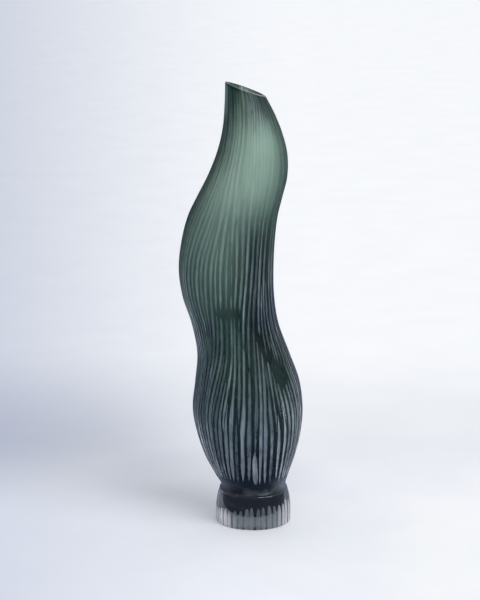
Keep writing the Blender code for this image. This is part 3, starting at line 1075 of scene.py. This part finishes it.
def noise(tree, texture):
    """A texture's noise in object space, drawn out along the height by a stretch under 1."""
    coords = tree.nodes.new("ShaderNodeTexCoord")
    mapping = tree.nodes.new("ShaderNodeMapping")
    mapping.inputs["Scale"].default_value = (1.0, 1.0, texture.stretch)
    tree.links.new(coords.outputs["Object"], mapping.inputs["Vector"])
    node = tree.nodes.new("ShaderNodeTexNoise")
    fineness = {"Scale": texture.scale, "Detail": texture.detail, "Roughness": texture.rough}
    set_inputs(tree, node, {"Vector": mapping.outputs["Vector"], **fineness})
    return remap(tree, node.outputs["Fac"], *texture.turn)


def attribute(tree, name):
    node = tree.nodes.new("ShaderNodeAttribute")
    node.attribute_name = name
    return node.outputs["Fac"]


def absorbing(tree, colour, density):
    """Colour deep in the glass, stronger where the way through it is longer."""
    absorb = tree.nodes.new("ShaderNodeVolumeAbsorption")
    set_inputs(tree, absorb, {"Color": colour, "Density": density})
    end = next(n for n in tree.nodes if n.type == "OUTPUT_MATERIAL")
    tree.links.new(absorb.outputs[0], end.inputs["Volume"])


def shaded_towards(tree, colour, light, shade):
    """A colour under painted shade, partly for thicker glass: the less light, the nearer it is to the shade
    colour.
    """
    return mixed(tree, 1.0, colour, mixed(tree, light, shade, CLEAR), "MULTIPLY")


def body_values(tree):
    """What the body's colour and gloss follow."""
    level = remap(tree, object_place(tree)[2], *GLASS_HEIGHTS)
    thin = attribute(tree, "thin")
    streak, mottle = noise(tree, STREAK_TEXTURE), noise(tree, MOTTLE_TEXTURE)
    frost = maths(tree, "MINIMUM", times(tree, attribute(tree, "frost"), streak, mottle), 1.0)
    kept = remap(tree, thin, *FROST_BY_SHADING)
    return Glass(
        level=level,
        thin=thin,
        lit=remap(tree, thin, *LIT_BY_SHADING),
        waist=remap(tree, level, *WAIST_BY_LEVEL),
        rim=attribute(tree, "rim"),
        inside=attribute(tree, "inside"),
        frost=times(tree, frost, remap(tree, level, *THINNED_LEVELS, 1.0, kept)),
    )


def body_colour(tree, body):
    """Smooth skin with wisps in the waist, and frosted cuts, both darker with painted shade, partly for
    thicker glass, and lighter with painted light.
    """
    upper = remap(tree, body.level, *UPPER_BY_LEVEL)
    # Painted shade, partly for thicker glass, darkens skin and cuts, and painted light lightens them
    light = maths(tree, "POWER", body.thin, SKIN_SHADING_POWER)
    skin = shaded_towards(tree, ramp(tree, body.level, SKIN_STOPS), light, mixed(tree, upper, *SKIN_SHADE_COLOURS))
    wisps = mixed(tree, noise(tree, WISP_TEXTURE), *WISP_COLOURS)
    skin = mixed(tree, body.waist, skin, wisps)
    lit = times(tree, body.lit, remap(tree, body.level, *SKIN_LIT_BY_LEVEL))
    skin = mixed(tree, lit, skin, SKIN_LIT_COLOUR)
    light = maths(tree, "POWER", body.thin, CUT_SHADING_POWER)
    cut = shaded_towards(tree, ramp(tree, body.level, CUT_STOPS), light, mixed(tree, upper, *CUT_SHADE_COLOURS))
    cut = mixed(tree, body.lit, cut, CUT_LIT_COLOUR)
    colour = mixed(tree, body.frost, skin, cut)
    # The rim's colour runs from dark to pale with its painted light and shade
    colour = mixed(tree, body.rim, colour, mixed(tree, body.thin, *RIM_COLOURS))
    return mixed(tree, body.inside, colour, CLEAR)


def body_transmission(tree, body):
    """Light goes through the skin, and less through frost, the rim and the waist."""
    # Painted shade, partly for thicker glass, makes the glass more solid as well
    shade_solidity = times(tree, remap(tree, body.thin, *SOLIDITY_BY_SHADING), remap(tree, body.level, *SHADE_SOLIDITY_BY_LEVEL))
    solidity = maths(tree, "ADD", ramp(tree, body.level, SOLIDITY_STOPS), shade_solidity)
    solidity = maths(tree, "ADD", solidity, times(tree, body.lit, LIT_SOLIDITY))
    rim = times(tree, body.rim, RIM_SOLIDITY)
    solid = maths(tree, "MAXIMUM", times(tree, body.frost, solidity), rim)
    solid = maths(tree, "MAXIMUM", solid, times(tree, body.waist, WAIST_SOLIDITY))
    return maths(tree, "SUBTRACT", 1.0, solid)


def body_roughness(tree, body):
    """Satin skin, grainy cuts, and polish on the rim and inside."""
    satin = remap(tree, body.level, *SATIN_BY_LEVEL)
    satin = maths(tree, "MAXIMUM", satin, times(tree, body.waist, WAIST_ROUGHNESS))
    rough = remap(tree, body.frost, 0.0, 1.0, satin, noise(tree, GRAIN_TEXTURE))
    polished = maths(tree, "MAXIMUM", body.rim, body.inside)
    return times(tree, rough, remap(tree, polished, *ROUGH_BY_POLISH))


def body_glass():
    """Cased glass, light green above and near black below."""
    material, tree, shader = new_material("carved green glass")
    body = body_values(tree)
    set_inputs(tree, shader, {
        "Base Color": body_colour(tree, body),
        "Transmission Weight": body_transmission(tree, body),
        "Roughness": body_roughness(tree, body),
        "IOR": GLASS_IOR,
        "Specular Tint": GLOSS_TINT,
    })
    absorbing(tree, DEEP_COLOUR, DENSITY)
    return material


def foot_glass():
    """Clear glass, smoky above, painted lighter at its sides, and frosted in its cuts."""
    material, tree, shader = new_material("clear foot glass")
    streak = noise(tree, FOOT_STREAK_TEXTURE)
    frost = maths(tree, "MINIMUM", times(tree, attribute(tree, "frost"), streak), 1.0)
    shift = noise(tree, FOOT_CLOUD_TEXTURE)
    level = remap(tree, maths(tree, "ADD", object_place(tree)[2], shift), *FOOT_GLASS_HEIGHTS)
    thin = attribute(tree, "thin")
    cut = ramp(tree, level, FOOT_CUT_STOPS)
    # The painted light at the foot's sides lightens its cuts and its clear glass
    cut = mixed(tree, remap(tree, thin, *FOOT_CUT_LIT), cut, CLEAR)
    clear = ramp(tree, level, FOOT_CLEAR_STOPS)
    clear = mixed(tree, remap(tree, thin, *FOOT_CLEAR_LIT), clear, FOOT_LIT_COLOUR)
    through_clear = remap(tree, maths(tree, "SUBTRACT", level, thin), *CLEAR_THROUGH)
    through_cut = remap(tree, thin, *CUT_THROUGH)
    set_inputs(tree, shader, {
        "Base Color": mixed(tree, frost, clear, cut),
        "Transmission Weight": remap(tree, frost, 0.0, 1.0, through_clear, through_cut),
        "Roughness": remap(tree, frost, *FOOT_ROUGH_BY_FROST),
        "IOR": GLASS_IOR,
    })
    absorbing(tree, FOOT_DEEP_COLOUR, FOOT_DENSITY)
    return material


def core_glass():
    """Near black glass with faint clouds."""
    material, tree, shader = new_material("dark core glass")
    colour = mixed(tree, noise(tree, CORE_CLOUD_TEXTURE), *CORE_COLOURS)
    finish = {"Roughness": CORE_ROUGHNESS, "Specular IOR Level": DULL_GLOSS}
    set_inputs(tree, shader, {"Base Color": colour, **finish})
    return material


def mirrored(tree):
    """1 for a ray that a glossy surface has thrown back, else 0."""
    path = tree.nodes.new("ShaderNodeLightPath")
    return times(tree, path.outputs["Is Glossy Ray"], path.outputs["Is Reflection Ray"])


def shadow_spot_off(tree, x, y):
    """How far a point of the floor lies from the middle of the painted shadow, 1 at its border."""
    squares = []
    for value, middle, radius in zip((x, y), SHADOW_SPOT_MIDDLE, SHADOW_SPOT_RADII):
        share = maths(tree, "DIVIDE", maths(tree, "SUBTRACT", value, middle), radius)
        squares.append(maths(tree, "POWER", share, 2.0))
    return maths(tree, "ADD", *squares)


def floor_material():
    """Pale card with faint marks, painted lighter to the right and far off, with bands of painted shade and a
    painted shadow.
    """
    material, tree, shader = new_material("pale floor")
    x, y, _ = object_place(tree)
    way = maths(tree, "MAXIMUM", maths(tree, "ADD", y, FAN_START), FAN_LEAST)
    bearing = maths(tree, "DIVIDE", x, way)
    # The floor is painted lighter to the right
    colour = mixed(tree, eased(tree, bearing, *SIDE_BY_BEARING), *SIDE_COLOURS)
    # Bands of painted shade
    for floor_shade in FLOOR_SHADES:
        strength = remap(tree, bearing, *floor_shade.strength, kind=floor_shade.kind)
        share = times(tree, eased(tree, y, *floor_shade.way_in), eased(tree, y, *floor_shade.way_out), strength)
        colour = mixed(tree, share, colour, floor_shade.colour)
    # The painted shadow by the foot
    colour = mixed(tree, eased(tree, shadow_spot_off(tree, x, y), *SHADOW_SPOT_BY_OFF), colour, SHADE_COLOUR)
    colour = mixed(tree, noise(tree, FLOOR_TEXTURE), colour, MARKS_COLOUR)
    colour = mixed(tree, mirrored(tree), colour, MIRRORED_COLOUR)
    finish = {"Roughness": FLOOR_ROUGHNESS, "Specular IOR Level": DULL_GLOSS}
    set_inputs(tree, shader, {"Base Color": colour, **finish})
    return material


def stage():
    """A plain pale floor that fills the view."""
    far = FLOOR_REACH
    mesh = bpy.data.meshes.new("floor")
    mesh.from_pydata([(-far, -far, 0), (far, -far, 0), (far, far, 0), (-far, far, 0)], [], [(0, 1, 2, 3)])
    mesh.materials.append(floor_material())
    floor = new_object("floor", mesh)


def soft_light():
    """Light from all round, and a broad key from the right."""
    world = bpy.data.worlds.new("soft studio")
    bpy.context.scene.world = world
    world.use_nodes = True
    tree = world.node_tree
    thrown = mirrored(tree)
    seen = tree.nodes.new("ShaderNodeLightPath").outputs["Is Camera Ray"]
    colour = mixed(tree, thrown, WORLD_COLOUR, MIRRORED_WORLD)
    colour = mixed(tree, seen, colour, SEEN_WORLD)
    strength = remap(tree, thrown, 0.0, 1.0, *WORLD_STRENGTHS)
    set_inputs(tree, tree.nodes["Background"], {"Color": colour, "Strength": strength})
    key = bpy.data.lights.new("key", "SUN")
    key.energy = KEY_STRENGTH
    key.angle = math.radians(KEY_ANGLE)
    new_object("key", key).rotation_euler = Vector(KEY_FROM).to_track_quat("Z", "Y").to_euler()


def camera():
    """The photograph's view: about 2.5 m away, looking down a little."""
    data = bpy.data.cameras.new("camera")
    data.lens = CAMERA_LENS
    data.sensor_width = CAMERA_SENSOR
    view = new_object("camera", data)
    view.location = CAMERA_PLACE
    view.rotation_euler = (math.radians(90 - CAMERA_DOWN_ANGLE), 0.0, 0.0)
    bpy.context.scene.camera = view


def place(name, rings, material, node, slot):
    """A detailed piece that stands for one node of the model."""
    piece = mesh_from_rings(name, rings, material)
    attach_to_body(piece, "root")
    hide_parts(node)


bpy.context.scene.view_settings.view_transform = "Standard"
stage()
soft_light()
camera()
place("carved_body", body_rings(), body_glass(), "vase_body", "green_glass")
place("carved_foot", foot_rings(), foot_glass(), "foot_casing", "clear_glass")
place("dark_core", core_rings(), core_glass(), "foot_core", "dark_glass")
